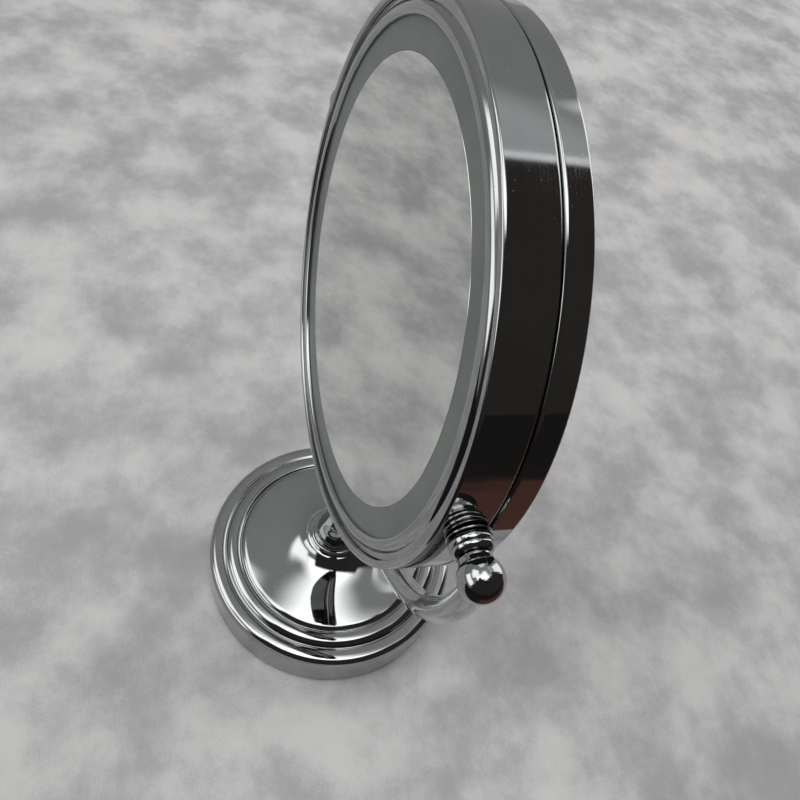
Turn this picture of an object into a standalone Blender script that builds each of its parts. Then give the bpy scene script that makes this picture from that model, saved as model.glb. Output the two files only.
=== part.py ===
"""A lighted, two-sided countertop mirror on a turned stand, as separate solid pieces.

Lengths below are in millimetres and are turned into metres where a mesh is made. The origin is the
centre of the ring on which the feet rest, +Z is up, the plain mirror faces -Y and the head tilts
about an axis along X. Pieces of the head are drawn round the mirror's own axis (local +Z is the
way the plain mirror faces) and hang on the empty "head_pivot", which stands on the tilt axis.
"""

import math

import bmesh
import bpy
from mathutils import Matrix, Vector

MM = 0.001
GAP = 0.3

# Driving dimensions of the head. Depths are measured from the tilt axis, positive towards the front.
HEAD_RADIUS = 108.0
HEAD_FRONT = 12.7
HEAD_BACK = -16.6
SEAM_DEPTH = -6.2
SEAM_WIDTH = 0.5
SEAM_ROUND = 1.2
EDGE_ROUND = 2.0
WALL = 1.5
GLASS_FACE = 10.6
GLASS_THICKNESS = 3.0
MIRROR_RADIUS = 85.2
DIFFUSER_INNER = 85.5
DIFFUSER_OUTER = 98.0
DIFFUSER_THICKNESS = 2.0
BEZEL_INNER = 96.6
BEZEL_OUTER = 104.6
REAR_MIRROR_RADIUS = 93.0
REAR_BEZEL_INNER = 91.0
FRONT_CHANNEL = 2.0
REAR_CHANNEL = 1.1
REAR_GLASS_EDGE = -15.0
REAR_CURVE_RADIUS = 900.0
REAR_GLASS_THICKNESS = 2.0
HOUSING_SCREW_CIRCLE = 100.5
LED_COUNT = 24

# Driving dimensions of the stand.
PIVOT_HEIGHT = 254.5
REST_TILT = 7.2
YOKE_RADIUS = 123.5
YOKE_TUBE_RADIUS = 5.0
YOKE_BORE_RADIUS = 3.8
YOKE_END_INSET = 2.0
BALL_RADIUS = 7.9
STEM_BORE = 5.1
ROD_RADIUS = 4.8
LEAD_HOLE_RADIUS = 2.4
LEAD_RADIUS = 0.7
BASE_RADIUS = 74.0
BASE_WALL = 1.6
BASE_INNER = BASE_RADIUS - BASE_WALL
BASE_TOP = 47.0
SHELL_UNDERSIDE = 44.4
COVER_BOTTOM = 2.6
COVER_TOP = 4.6
COVER_SCREW_CIRCLE = 61.5
COVER_SCREW_ANGLES = (30.0, 150.0, 270.0)
FOOT_CIRCLE = 61.0
FOOT_ANGLES = (45.0, 135.0, 225.0, 315.0)
FOOT_RADIUS = 6.5
CELL_RADIUS = 7.1
CELL_LENGTH = 49.3
CELL_PITCH = 14.9
CELL_AXIS_HEIGHT = 13.2
BOX_HALF_X = 32.8
BOX_HALF_Y = 29.6
BOX_WALL = 1.5
DOOR_HALF_X = 30.7
DOOR_HALF_Y = 27.6
SWITCH_HEIGHT = 17.5
ROCKER_PIVOT_Y = 69.0
ROCKER_TILT = 8.0

# Sides of the faceted solids.
HEAD_SIDES = 32
BASE_SIDES = 32
STEM_SIDES = 16
SMALL_SIDES = 10
YOKE_STEPS = 20
YOKE_SIDES = 10
SHARP_ANGLE = math.radians(35)

# Colour (linear red, green, blue), roughness and metallic value of each finish.
FINISHES = {
    "polished_chrome": ((0.78, 0.79, 0.80), 0.05, 1.0),
    "mirror_glass": ((0.86, 0.88, 0.87), 0.01, 1.0),
    "frosted_white": ((0.30, 0.33, 0.31), 0.45, 0.0),
    "black_plastic": ((0.02, 0.02, 0.022), 0.5, 0.0),
    "white_plastic": ((0.75, 0.75, 0.73), 0.5, 0.0),
    "circuit_board": ((0.80, 0.80, 0.78), 0.4, 0.0),
    "brass": ((0.72, 0.53, 0.25), 0.3, 1.0),
    "steel": ((0.55, 0.55, 0.56), 0.35, 1.0),
    "cast_iron": ((0.09, 0.09, 0.095), 0.75, 0.6),
    "rubber": ((0.025, 0.025, 0.025), 0.8, 0.0),
    "cell_jacket": ((0.10, 0.28, 0.16), 0.35, 0.0),
    "lead_jacket": ((0.55, 0.04, 0.03), 0.5, 0.0),
}


def clear_scene():
    """Removes every object that the scene starts with."""
    for obj in list(bpy.data.objects):
        bpy.data.objects.remove(obj, do_unlink=True)


def finish(name):
    """The Principled material of that finish, made once."""
    found = bpy.data.materials.get(name)
    if found:
        return found
    colour, roughness, metallic = FINISHES[name]
    material = bpy.data.materials.new(name)
    material.use_nodes = True
    shader = material.node_tree.nodes["Principled BSDF"]
    shader.inputs["Base Color"].default_value = (*colour, 1.0)
    shader.inputs["Roughness"].default_value = roughness
    shader.inputs["Metallic"].default_value = metallic
    return material


def arc(centre, radius, start, end, steps):
    """Points of a round stretch, angles in degrees, both ends included."""
    points = []
    for i in range(steps + 1):
        angle = math.radians(start + (end - start) * i / steps)
        points.append((centre[0] + radius * math.cos(angle), centre[1] + radius * math.sin(angle)))
    return points


def bezier(p0, p1, p2, p3, steps):
    """Points of a cubic curve, both ends included."""
    points = []
    for i in range(steps + 1):
        t = i / steps
        weights = ((1 - t) ** 3, 3 * t * (1 - t) ** 2, 3 * t * t * (1 - t), t**3)
        corners = (p0, p1, p2, p3)
        points.append(tuple(sum(w * p[k] for w, p in zip(weights, corners)) for k in (0, 1)))
    return points


def on_circle(radius, angle):
    """The x and y of a point on a circle round the axis, angle in degrees."""
    return radius * math.cos(math.radians(angle)), radius * math.sin(math.radians(angle))


def add_object(name, bm, material, parent=None, location=(0, 0, 0), rotation=(0, 0, 0)):
    """Makes the object of a bmesh, shades it smooth but for its edges, and places it (degrees, mm)."""
    bmesh.ops.recalc_face_normals(bm, faces=bm.faces)
    mesh = bpy.data.meshes.new(name)
    bm.to_mesh(mesh)
    bm.free()
    mesh.materials.append(finish(material))
    mesh.shade_smooth()
    mesh.set_sharp_from_angle(angle=SHARP_ANGLE)
    obj = bpy.data.objects.new(name, mesh)
    bpy.context.scene.collection.objects.link(obj)
    obj.parent = parent
    obj.location = Vector(location) * MM
    obj.rotation_euler = [math.radians(angle) for angle in rotation]
    return obj


def spun(profile, sides):
    """A bmesh turned from (radius, height) points: a solid if both ends are on the axis, else a ring."""
    bm = bmesh.new()
    verts = [bm.verts.new((radius * MM, 0, height * MM)) for radius, height in profile]
    edges = [bm.edges.new(pair) for pair in zip(verts, verts[1:])]
    if profile[0][0] > 0 or profile[-1][0] > 0:
        edges.append(bm.edges.new((verts[-1], verts[0])))
    bmesh.ops.spin(
        bm, geom=verts + edges, axis=(0, 0, 1), cent=(0, 0, 0), angle=math.tau, steps=sides, use_merge=True
    )
    bmesh.ops.remove_doubles(bm, verts=bm.verts, dist=1e-6)
    return bm


def turned(name, profile, sides, material, **place):
    """An object turned round its local Z axis."""
    return add_object(name, spun(profile, sides), material, **place)


def ring(inner, outer, low, high):
    """The profile of a plain ring."""
    return [(inner, low), (outer, low), (outer, high), (inner, high)]


def rod(radius, low, high):
    """The profile of a plain round bar."""
    return [(0, low), (radius, low), (radius, high), (0, high)]


def add_box(bm, low, high):
    """Adds a box between two corners to a bmesh."""
    size = Vector(high) - Vector(low)
    middle = (Vector(high) + Vector(low)) / 2
    matrix = Matrix.Translation(middle * MM) @ Matrix.Diagonal((*(size * MM), 1))
    bmesh.ops.create_cube(bm, size=1, matrix=matrix)


def boxes(name, corners, material, **place):
    """An object of one or more boxes, each given by its two corners."""
    bm = bmesh.new()
    for low, high in corners:
        add_box(bm, low, high)
    return add_object(name, bm, material, **place)


def pins(name, centres, radius, low, high, material="steel", sides=SMALL_SIDES, **place):
    """An object of upright round bars, for cutting holes or adding bosses."""
    bm = bmesh.new()
    for x, y in centres:
        matrix = Matrix.Translation(Vector((x, y, (low + high) / 2)) * MM)
        bmesh.ops.create_cone(
            bm,
            cap_ends=True,
            segments=sides,
            radius1=radius * MM,
            radius2=radius * MM,
            depth=(high - low) * MM,
            matrix=matrix,
        )
    return add_object(name, bm, material, **place)


def combine(obj, other, operation):
    """Cuts another object from this one or adds it to it, and hides the other."""
    other.hide_render = True
    other.display_type = "WIRE"
    modifier = obj.modifiers.new(other.name, "BOOLEAN")
    modifier.operation = operation
    modifier.solver = "EXACT"
    modifier.object = other


def join_rings(bm, first, second):
    """Fills the band between two rings of as many vertices."""
    for i in range(len(first)):
        bm.faces.new((first[i - 1], first[i], second[i], second[i - 1]))


def arc_sweep(radii, start, end, steps):
    """A bmesh of a round bar bent about the tilt axis's middle, in the XZ plane; two radii make it a tube.

    Angles are in degrees down from +X, so 90 is the lowest point.
    """
    bm = bmesh.new()
    sections = []
    for i in range(steps + 1):
        turn = Matrix.Rotation(math.radians(start + (end - start) * i / steps), 3, "Y")
        section = []
        for radius in radii:
            circle = [on_circle(radius, 360 * k / YOKE_SIDES) for k in range(YOKE_SIDES)]
            section.append([bm.verts.new(turn @ Vector((YOKE_RADIUS + x, y, 0)) * MM) for x, y in circle])
        sections.append(section)
    for before, after in zip(sections, sections[1:]):
        for first, second in zip(before, after):
            join_rings(bm, first, second)
    for section in (sections[0], sections[-1]):
        if len(radii) == 2:
            join_rings(bm, section[0], section[1])
        else:
            bm.faces.new(section[0])
    return bm


def lead(name, points, material, parent=None):
    """An insulated lead along a line of points."""
    curve = bpy.data.curves.new(name, "CURVE")
    curve.dimensions = "3D"
    curve.bevel_depth = LEAD_RADIUS * MM
    curve.bevel_resolution = 1
    curve.use_fill_caps = True
    spline = curve.splines.new("POLY")
    spline.points.add(len(points) - 1)
    for point, place in zip(spline.points, points):
        point.co = (*(Vector(place) * MM), 1)
    curve.materials.append(finish(material))
    obj = bpy.data.objects.new(name, curve)
    bpy.context.scene.collection.objects.link(obj)
    obj.parent = parent
    return obj


# The head.


def screw_places():
    """Where the four housing screws stand, in the head's own frame."""
    return [on_circle(HOUSING_SCREW_CIRCLE, angle) for angle in (45, 135, 225, 315)]


def pivot_hole(name, pivot):
    """A cutter for the two holes in the drum wall that the pivot bushes fill."""
    half = HEAD_RADIUS + 5
    return pins(name, [(0, 0)], 5.0, -half, half, sides=STEM_SIDES, parent=pivot, rotation=(0, 90, 0))


def make_front_housing(pivot):
    edge = HEAD_FRONT - EDGE_ROUND
    seam = SEAM_DEPTH + SEAM_WIDTH / 2
    profile = [(HEAD_RADIUS - WALL, seam), (HEAD_RADIUS - SEAM_ROUND, seam)]
    profile += arc((HEAD_RADIUS - SEAM_ROUND, seam + SEAM_ROUND), SEAM_ROUND, -60, 0, 2)
    profile += arc((HEAD_RADIUS - EDGE_ROUND, edge), EDGE_ROUND, 0, 90, 3)
    profile += [(105.2, 12.3), (104.9, 11.6), (104.9, 8.6), (98.9, 8.6), (98.9, 7.0), (106.5, 7.0)]
    housing = turned("front_housing", profile, HEAD_SIDES, "polished_chrome", parent=pivot)
    combine(housing, pins("front_bosses", screw_places(), 2.7, 1.2, 7.5, parent=pivot), "UNION")
    combine(housing, pins("front_boss_holes", screw_places(), 1.45, 0.5, 6.4, parent=pivot), "DIFFERENCE")
    combine(housing, pivot_hole("front_pivot_hole", pivot), "DIFFERENCE")


def bezel_profile(inner, outer, face, ledge, fall):
    """A trim ring: a rounded lip over the glass, a band that falls away outward, and a channel outside it.

    The face is its highest point, the ledge the height that the ring stands on, and the channel is fall deep.
    """
    channel = face - fall
    under = channel - 1.1
    return [
        (outer, ledge),
        (outer, channel),
        (outer - 2.1, channel),
        ((inner + outer) / 2 + 0.3, face - 0.4 * fall),
        (inner + 2.8, face - 0.1 * fall),
        (inner + 1.8, face),
        (inner + 0.8, face - 0.25),
        (inner + 0.15, face - 1.0),
        (inner, face - 1.7),
        (inner + 2.9, face - 1.7),
        (inner + 2.9, under),
        (outer - 1.5, under),
        (outer - 1.5, ledge),
    ]


def make_front_bezel(pivot):
    profile = bezel_profile(BEZEL_INNER, BEZEL_OUTER, HEAD_FRONT - 0.1, 8.9, FRONT_CHANNEL)
    turned("front_bezel", profile, HEAD_SIDES, "polished_chrome", parent=pivot)


def make_light_diffuser(pivot):
    profile = ring(DIFFUSER_INNER, DIFFUSER_OUTER, GLASS_FACE - DIFFUSER_THICKNESS + GAP, GLASS_FACE)
    turned("light_diffuser", profile, HEAD_SIDES, "frosted_white", parent=pivot)


def make_front_mirror(pivot):
    profile = rod(MIRROR_RADIUS, GLASS_FACE - GLASS_THICKNESS, GLASS_FACE)
    turned("front_mirror", profile, HEAD_SIDES, "mirror_glass", parent=pivot)


def make_led_board(pivot):
    board = turned("led_board", ring(87.0, 95.3, 1.2, 2.8), HEAD_SIDES, "circuit_board", parent=pivot)
    chips = bmesh.new()
    for i in range(LED_COUNT):
        start = len(chips.verts)
        add_box(chips, (89.6, -1.5, 2.7), (92.6, 1.5, 3.7))
        chips.verts.ensure_lookup_table()
        turn = Matrix.Rotation(math.tau * (i + 0.5) / LED_COUNT, 3, "Z")
        bmesh.ops.rotate(chips, verts=chips.verts[start:], cent=(0, 0, 0), matrix=turn)
    combine(board, add_object("led_chips", chips, "circuit_board", parent=pivot), "UNION")


def make_head_chassis(pivot):
    """The plastic tray that holds the glass, the light ring and the light board."""
    profile = [
        (0, -1.1),
        (97.0, -1.1),
        (97.0, 8.5),
        (95.8, 8.5),
        (95.8, 0.9),
        (86.6, 0.9),
        (86.6, 8.5),
        (85.5, 8.5),
        (85.5, 7.3),
        (83.2, 7.3),
        (83.2, 0.9),
        (0, 0.9),
    ]
    chassis = turned("head_chassis", profile, HEAD_SIDES, "white_plastic", parent=pivot)
    combine(chassis, pins("chassis_ears", screw_places(), 5.0, -1.1, 0.9, parent=pivot), "UNION")
    combine(chassis, pins("chassis_holes", screw_places(), 1.45, -2.0, 2.0, parent=pivot), "DIFFERENCE")


def make_rear_housing(pivot):
    edge = HEAD_BACK + EDGE_ROUND
    seam = SEAM_DEPTH - SEAM_WIDTH / 2
    profile = arc((HEAD_RADIUS - SEAM_ROUND, seam - SEAM_ROUND), SEAM_ROUND, 0, 60, 2)
    profile += [(HEAD_RADIUS - SEAM_ROUND, seam), (HEAD_RADIUS - WALL, seam), (106.5, -11.0)]
    profile += [(94.5, -11.0), (94.5, -12.6), (104.9, -12.6), (104.9, -15.5), (105.2, -16.2)]
    profile += arc((HEAD_RADIUS - EDGE_ROUND, edge), EDGE_ROUND, 270, 360, 3)
    housing = turned("rear_housing", profile, HEAD_SIDES, "polished_chrome", parent=pivot)
    combine(housing, pins("rear_bosses", screw_places(), 2.7, -11.5, -1.4, parent=pivot), "UNION")
    combine(housing, pins("rear_boss_holes", screw_places(), 1.45, -13.5, 0.0, parent=pivot), "DIFFERENCE")


def make_rear_bezel(pivot):
    front = bezel_profile(REAR_BEZEL_INNER, BEZEL_OUTER, -(HEAD_BACK + 0.1), 12.9, REAR_CHANNEL)
    profile = [(radius, -height) for radius, height in front]
    turned("rear_bezel", profile, HEAD_SIDES, "polished_chrome", parent=pivot)


def make_rear_mirror(pivot):
    """The magnifying mirror: a hollow-ground disc, deepest in the middle."""
    steps = 3
    face = []
    back = []
    for i in range(steps + 1):
        radius = REAR_MIRROR_RADIUS * (steps - i) / steps
        rise = (REAR_MIRROR_RADIUS**2 - radius**2) / (2 * REAR_CURVE_RADIUS)
        face.append((radius, REAR_GLASS_EDGE + 0.5 + rise))
        back.append((radius, REAR_GLASS_EDGE + 0.5 + rise + REAR_GLASS_THICKNESS))
    turned("rear_mirror", face[::-1] + back, HEAD_SIDES, "mirror_glass", parent=pivot)


def make_seam_gasket(pivot):
    profile = ring(104.8, 106.2, SEAM_DEPTH - 0.8, SEAM_DEPTH + 0.5)
    turned("seam_gasket", profile, HEAD_SIDES, "rubber", parent=pivot)


def make_housing_screws(pivot):
    profile = [(0, -13.9), (2.1, -13.9), (2.1, -12.9), (1.1, -12.9), (1.1, 5.8), (0, 5.8)]
    for number, (x, y) in enumerate(screw_places(), 1):
        name = f"housing_screw_{number}"
        turned(name, profile, SMALL_SIDES, "steel", parent=pivot, location=(x, y, 0))


def make_head_lead(pivot):
    """The lead from the hollow pivot stud, under the tray, to the light board."""
    points = [(97.9, 0, 0.4), (97.9, 0, -1.2), (97.5, 0, -2.1)]
    points += [(96.4, 0, -2.5), (92.0, 0, -2.5), (88.0, 0, -2.5)]
    lead("head_lead", points, "lead_jacket", parent=pivot)


def make_pivot_flange(side, turn, pivot):
    """The turned ring on the outside of the drum, against which the bell runs."""
    profile = [(3.3, 108.3), (7.4, 108.3), (7.7, 108.6), (7.7, 108.9), (7.4, 109.2), (3.3, 109.2)]
    turned(f"pivot_flange_{side}", profile, STEM_SIDES, "polished_chrome", parent=pivot, rotation=turn)


def make_pivot_bush(side, turn, pivot):
    profile = [(3.15, 103.8), (5.4, 103.8), (5.4, 105.6), (4.6, 105.6), (4.6, 107.9), (3.15, 107.9)]
    turned(f"pivot_bush_{side}", profile, STEM_SIDES, "brass", parent=pivot, rotation=turn)


# The yoke and its pivots.


def make_yoke_tube(centre):
    inset = math.degrees(YOKE_END_INSET / YOKE_RADIUS)
    bm = arc_sweep((YOKE_TUBE_RADIUS, YOKE_BORE_RADIUS), inset, 180 - inset, YOKE_STEPS)
    tube = add_object("yoke_tube", bm, "polished_chrome", parent=centre)
    hole = pins("yoke_lead_hole", [(0, 0)], LEAD_HOLE_RADIUS, -YOKE_RADIUS - 8, -YOKE_RADIUS, parent=centre)
    combine(tube, hole, "DIFFERENCE")


def ball_points(collar):
    """The ball's outline from its collar to its pole, as radius and distance from the head's middle."""
    first = 180 - math.degrees(math.asin(collar / BALL_RADIUS))
    points = [(x, YOKE_RADIUS + z) for z, x in arc((0, 0), BALL_RADIUS, first, 0, 8)]
    points[-1] = (0, YOKE_RADIUS + BALL_RADIUS)
    return points


def make_yoke_ball(side, turn, centre):
    """The ball on the end of the tube, with a collar facing the drum and a bore for the stud."""
    start = YOKE_RADIUS - 7.5
    collar = 6.2
    bore_end = YOKE_RADIUS + 0.5
    profile = [(0, bore_end), (3.2, bore_end), (3.2, start), (5.8, start), (collar, start + 0.4)]
    ball = turned(
        f"yoke_ball_{side}",
        profile + ball_points(collar),
        STEM_SIDES,
        "polished_chrome",
        parent=centre,
        rotation=turn,
    )
    x = YOKE_RADIUS if side == "right" else -YOKE_RADIUS
    bore_radius = YOKE_TUBE_RADIUS + 2 * GAP
    bore = pins(f"ball_bore_{side}", [(x, 0)], bore_radius, -12, -1.7, sides=STEM_SIDES, parent=centre)
    combine(ball, bore, "DIFFERENCE")


def make_pivot_bell(side, turn, centre):
    """The turned bowl between the drum and the ball, with a smaller bead beside the ball."""
    profile = [(3.2, 109.5), (7.1, 109.5), (7.5, 110.1), (7.6, 111.0), (7.4, 112.0), (6.7, 112.8)]
    profile += [(7.0, 113.4), (7.0, 114.3), (6.4, 115.2), (5.6, 115.7), (3.2, 115.7)]
    turned(f"pivot_bell_{side}", profile, STEM_SIDES, "polished_chrome", parent=centre, rotation=turn)


def make_pivot_stud(side, turn, centre):
    profile = ring(1.5, 3.0, 98.9, 118.0)
    turned(f"pivot_stud_{side}", profile, STEM_SIDES, "steel", parent=centre, rotation=turn)


def make_pivot_washer(side, turn, centre):
    profile = ring(3.25, 5.2, 102.7, 103.5)
    turned(f"pivot_washer_{side}", profile, STEM_SIDES, "steel", parent=centre, rotation=turn)


def make_pivot_nut(side, turn, centre):
    """A thin hexagon nut on the inner end of the stud."""
    nut = turned(f"pivot_nut_{side}", rod(4.9, 99.4, 102.4), 6, "steel", parent=centre, rotation=turn)
    hole = pins(f"nut_bore_{side}", [(0, 0)], 3.25, 98, 104, sides=STEM_SIDES, parent=centre, rotation=turn)
    combine(nut, hole, "DIFFERENCE")


# The stem.


def make_yoke_saddle(centre):
    """The knob on top of the stem, with a channel through it for the yoke and a socket for the rod."""
    low = 115.6 - PIVOT_HEIGHT
    ball = 8.6
    profile = [(0, low + 8.6), (STEM_BORE, low + 8.6), (STEM_BORE, low), (6.6, low), (7.4, low + 0.8)]
    profile += [(7.4, low + 3.2), (6.6, low + 5.0), (6.8, low + 8.0)]
    for i in range(1, 8):
        angle = math.radians(-50 + 20 * i)
        profile.append((ball * math.cos(angle), -YOKE_RADIUS + ball * math.sin(angle)))
    profile[-1] = (0, -YOKE_RADIUS + ball)
    saddle = turned("yoke_saddle", profile, STEM_SIDES, "polished_chrome", parent=centre)
    inset = math.degrees(YOKE_END_INSET / YOKE_RADIUS)
    step = (180 - 2 * inset) / YOKE_STEPS
    bm = arc_sweep((YOKE_TUBE_RADIUS + GAP,), 90 - 2 * step, 90 + 2 * step, 4)
    combine(saddle, add_object("yoke_channel", bm, "steel", parent=centre), "DIFFERENCE")
    hole = pins("saddle_lead_hole", [(0, 0)], LEAD_HOLE_RADIUS, low + 8, -YOKE_RADIUS, parent=centre)
    combine(saddle, hole, "DIFFERENCE")


def bead(low, height, radius):
    """The profile of a round bead threaded on the rod."""
    middle = low + height / 2
    points = [(STEM_BORE, low), (6.8, low)]
    points += arc((radius - height / 2, middle), height / 2, -70, 70, 5)
    return points + [(6.8, low + height), (STEM_BORE, low + height)]


def make_stem():
    column = [(STEM_BORE, 81.6), (6.6, 81.6), (6.9, 82.6), (6.2, 85.0), (5.9, 96.0), (6.2, 107.0)]
    column += [(6.9, 109.2), (6.6, 110.0), (STEM_BORE, 110.0)]
    turned("stem_column", column, STEM_SIDES, "polished_chrome")
    turned("stem_bead_lower", bead(76.3, 5.0, 8.8), STEM_SIDES, "polished_chrome")
    turned("stem_bead_upper", bead(110.3, 5.0, 8.8), STEM_SIDES, "polished_chrome")
    foot = [(STEM_BORE, BASE_TOP + GAP), (13.0, BASE_TOP + GAP), (13.5, 48.2), (13.2, 49.3), (12.4, 50.4)]
    foot += bezier((11.9, 51.5), (11.2, 59.0), (7.6, 62.0), (7.0, 75.0), 5)
    foot += [(6.8, 76.0), (STEM_BORE, 76.0)]
    turned("stem_foot", foot, STEM_SIDES, "polished_chrome")


def make_tie_rod():
    """The hollow threaded rod that pulls the stem together, with its nut and washer in the base."""
    turned("tie_rod", ring(LEAD_HOLE_RADIUS + 0.2, ROD_RADIUS, 36.5, 123.8), SMALL_SIDES, "steel")
    turned("tie_washer", ring(STEM_BORE, 11.0, 42.9, 44.1), STEM_SIDES, "steel")
    nut = turned("tie_nut", rod(8.1, 38.4, 42.6), 6, "steel")
    combine(nut, pins("tie_nut_bore", [(0, 0)], STEM_BORE, 37, 44, sides=STEM_SIDES), "DIFFERENCE")


# The base.


def make_base_shell():
    """The turned bell of the base: a straight wall, two stepped tiers and a dome up to the collar."""
    profile = [(5.4, BASE_TOP), (13.6, BASE_TOP), (14.6, 46.0), (15.0, 45.0)]
    profile += bezier((15.4, 44.8), (20.4, 37.4), (36.0, 36.4), (54.6, 31.4), 7)
    profile += [(55.3, 30.3), (56.0, 30.3), (58.0, 31.2), (60.6, 31.1), (62.9, 29.9), (63.6, 28.6)]
    profile += [(64.3, 28.2), (65.0, 28.2), (66.6, 28.6)]
    profile += arc((69.8, 24.1), 4.2, 90, 0, 4)
    profile += [(BASE_RADIUS, 2.2), (73.4, 1.6), (BASE_INNER, 1.6), (BASE_INNER, 23.2), (69.2, 26.2)]
    profile += [(57.0, 28.0), (53.6, 29.2)]
    profile += bezier((53.6, 29.6), (38.0, 33.0), (22.0, 33.8), (13.6, 43.4), 4)[1:]
    profile += [(12.8, SHELL_UNDERSIDE), (5.4, SHELL_UNDERSIDE)]
    shell = turned("base_shell", profile, BASE_SIDES, "polished_chrome")
    window = boxes("switch_window", [((-8.0, 67.0, 12.3), (8.0, 77.0, 22.7))], "steel")
    combine(shell, window, "DIFFERENCE")


def cover_screw_places():
    return [on_circle(COVER_SCREW_CIRCLE, angle) for angle in COVER_SCREW_ANGLES]


def make_base_weight():
    weight = turned("base_weight", ring(52.0, 70.5, 5.0, 11.1), BASE_SIDES, "cast_iron")
    combine(weight, pins("weight_holes", cover_screw_places(), 1.6, 4.0, 10.2), "DIFFERENCE")


def make_bottom_cover():
    cover = turned("bottom_cover", rod(71.8, COVER_BOTTOM, COVER_TOP), BASE_SIDES, "black_plastic")
    half_x = DOOR_HALF_X + 0.4
    half_y = DOOR_HALF_Y + 0.4
    opening = boxes("door_opening", [((-half_x, -half_y, 1.0), (half_x, half_y, 6.0))], "steel")
    combine(cover, opening, "DIFFERENCE")
    combine(cover, pins("cover_holes", cover_screw_places(), 1.7, 1.0, 6.0), "DIFFERENCE")


def make_feet():
    top = COVER_BOTTOM - GAP
    profile = [(0, 0), (5.7, 0), (FOOT_RADIUS, 0.8), (FOOT_RADIUS, top), (0, top)]
    for number, angle in enumerate(FOOT_ANGLES, 1):
        place = (*on_circle(FOOT_CIRCLE, angle), 0)
        turned(f"foot_{number}", profile, STEM_SIDES, "rubber", location=place)


def make_cover_screws():
    profile = [(0, 1.0), (2.2, 1.0), (2.7, 1.5), (2.7, 2.3), (1.3, 2.3), (1.3, 9.9), (0, 9.9)]
    for number, (x, y) in enumerate(cover_screw_places(), 1):
        turned(f"cover_screw_{number}", profile, SMALL_SIDES, "steel", location=(x, y, 0))


def make_battery_box():
    corners = ((-BOX_HALF_X, -BOX_HALF_Y, 5.0), (BOX_HALF_X, BOX_HALF_Y, 22.6))
    box = boxes("battery_box", [corners], "black_plastic")
    inner_x = BOX_HALF_X - BOX_WALL
    inner_y = BOX_HALF_Y - BOX_WALL
    hollow = boxes("box_hollow", [((-inner_x, -inner_y, 4.0), (inner_x, inner_y, 21.1))], "steel")
    combine(box, hollow, "DIFFERENCE")


def make_cells():
    """Four penlight cells side by side, each turned end for end from its neighbour."""
    half = CELL_LENGTH / 2
    profile = [(0, -half), (6.6, -half), (CELL_RADIUS, 0.6 - half), (CELL_RADIUS, half - 0.6), (6.6, half)]
    profile += [(2.7, half), (2.7, half + 1.0), (0, half + 1.0)]
    for number in range(1, 5):
        x = (number - 2.5) * CELL_PITCH
        turn = 90 if number % 2 else -90
        turned(
            f"cell_{number}",
            profile,
            SMALL_SIDES,
            "cell_jacket",
            location=(x, 0, CELL_AXIS_HEIGHT),
            rotation=(turn, 0, 0),
        )


def make_contact_strips():
    """A strip at each end of the cells, with a coned spring for each cell's flat end."""
    for name, sign in (("front", -1), ("rear", 1)):
        near = 27.2 * sign
        far = 27.7 * sign
        low = (-30.0, min(near, far), 8.0)
        high = (30.0, max(near, far), 18.0)
        strip = boxes(f"contact_strip_{name}", [(low, high)], "steel")
        springs = bmesh.new()
        for number in range(1, 5):
            flat_end = 1 if number % 2 else -1
            if flat_end != sign:
                continue
            x = (number - 2.5) * CELL_PITCH
            matrix = Matrix.Translation(Vector((x, sign * 26.4, CELL_AXIS_HEIGHT)) * MM)
            matrix @= Matrix.Rotation(-sign * math.pi / 2, 4, "X")
            bmesh.ops.create_cone(
                springs,
                cap_ends=True,
                segments=SMALL_SIDES,
                radius1=3.0 * MM,
                radius2=4.4 * MM,
                depth=1.8 * MM,
                matrix=matrix,
            )
        combine(strip, add_object(f"springs_{name}", springs, "steel"), "UNION")


def make_battery_door():
    low = (-DOOR_HALF_X, -DOOR_HALF_Y, COVER_BOTTOM)
    high = (DOOR_HALF_X, DOOR_HALF_Y, COVER_TOP - 0.1)
    door = boxes("battery_door", [(low, high)], "black_plastic")
    combine(door, pins("finger_dimple", [(0, -19.0)], 6.0, 1.0, 3.5), "DIFFERENCE")


def make_switch():
    """A rocker switch behind the back of the base; the rocker shows through a window in the wall."""
    body = boxes("switch_body", [((-9.5, 57.5, 11.5), (9.5, 71.0, 23.5))], "black_plastic")
    pocket = boxes("switch_pocket", [((-7.6, 65.2, 12.7), (7.6, 73.0, 22.3))], "steel")
    combine(body, pocket, "DIFFERENCE")
    axle_place = {"location": (0, ROCKER_PIVOT_Y, SWITCH_HEIGHT), "rotation": (0, 90, 0)}
    combine(body, pins("switch_axle_hole", [(0, 0)], 1.05, -8.9, 8.9, **axle_place), "DIFFERENCE")
    outline = [(-2.4, -4.2), (4.2, -4.2), (3.4, 0.0), (4.2, 4.2), (-2.4, 4.2)]
    bm = bmesh.new()
    face = bm.faces.new([bm.verts.new((-7.2 * MM, y * MM, z * MM)) for y, z in outline])
    made = bmesh.ops.extrude_face_region(bm, geom=[face])
    moved = [item for item in made["geom"] if isinstance(item, bmesh.types.BMVert)]
    bmesh.ops.translate(bm, verts=moved, vec=(14.4 * MM, 0, 0))
    place = {"location": (0, ROCKER_PIVOT_Y, SWITCH_HEIGHT)}
    rocker = add_object("switch_rocker", bm, "black_plastic", rotation=(ROCKER_TILT, 0, 0), **place)
    combine(rocker, pins("rocker_axle", [(0, 0)], 0.9, -8.6, 8.6, **axle_place), "UNION")


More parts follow.
